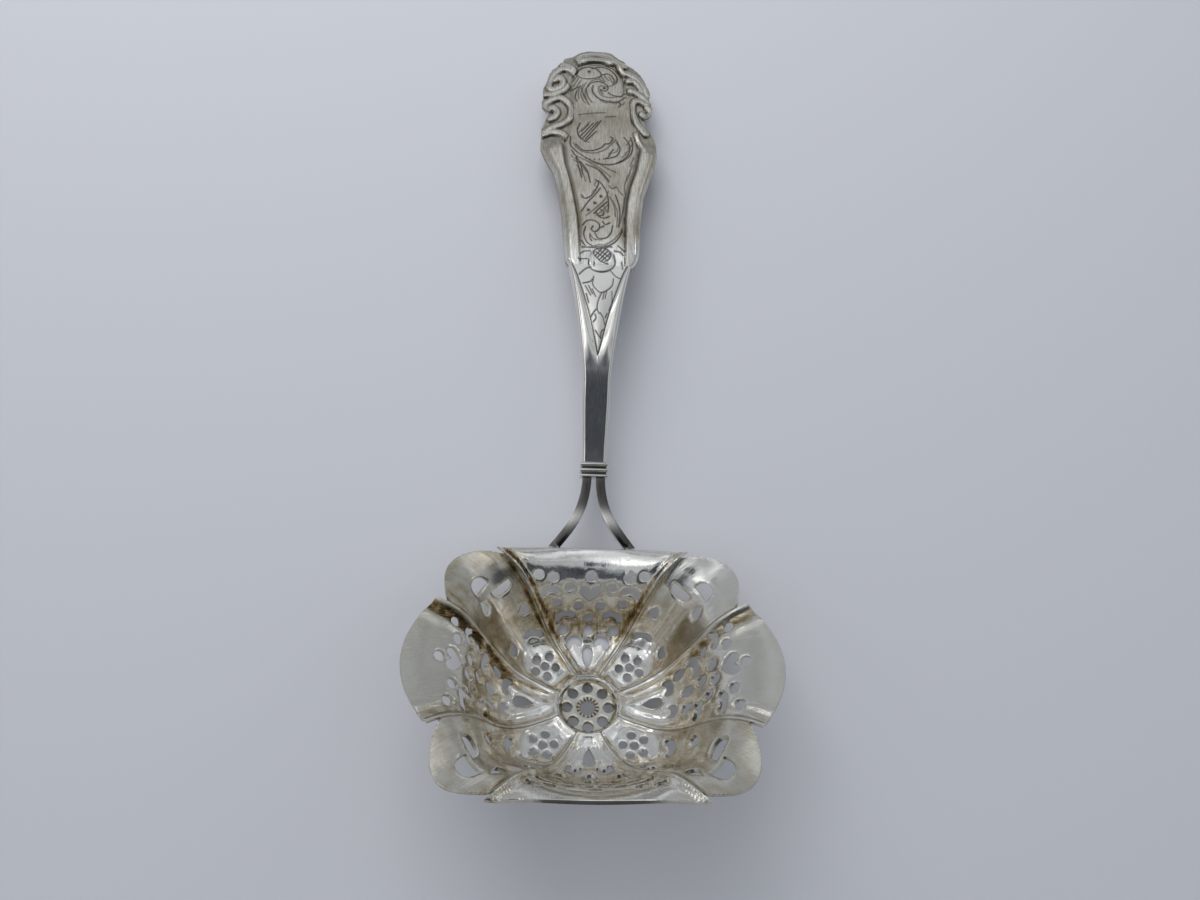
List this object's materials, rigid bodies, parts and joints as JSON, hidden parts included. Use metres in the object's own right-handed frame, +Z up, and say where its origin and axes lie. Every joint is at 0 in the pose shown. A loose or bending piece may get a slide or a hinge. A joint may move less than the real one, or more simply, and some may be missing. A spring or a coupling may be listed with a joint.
{
  "type": "sugar sifter spoon",
  "caption": "Silver sifter spoon with a pierced, lobed and ridged bowl tipped back on a forked stem, and a hollow scroll-bordered handle, for sprinkling sugar.",
  "frame": {"origin": "middle of the spoon's box, on the surface that it lies on", "axes": "+Y from the bowl to the handle's end, +Z up out of the bowl, +X across"},
  "size_m": [0.0742, 0.1674, 0.0406],
  "materials": {
    "bowl_silver": "polished silver, brown tarnish by the ridges",
    "stem_silver": "polished silver",
    "handle_silver": "satin silver, dark oxide in the engraving",
    "pitch_core": "dull pitch cement"
  },
  "bodies": {
    "root": {"pierced_bowl": "bowl_silver", "left_prong": "stem_silver", "right_prong": "stem_silver", "stem_collar": "stem_silver", "stem_bar": "stem_silver", "handle_front_shell": "handle_silver", "handle_back_shell": "handle_silver", "handle_core": "pitch_core"}
  },
  "joints": []
}
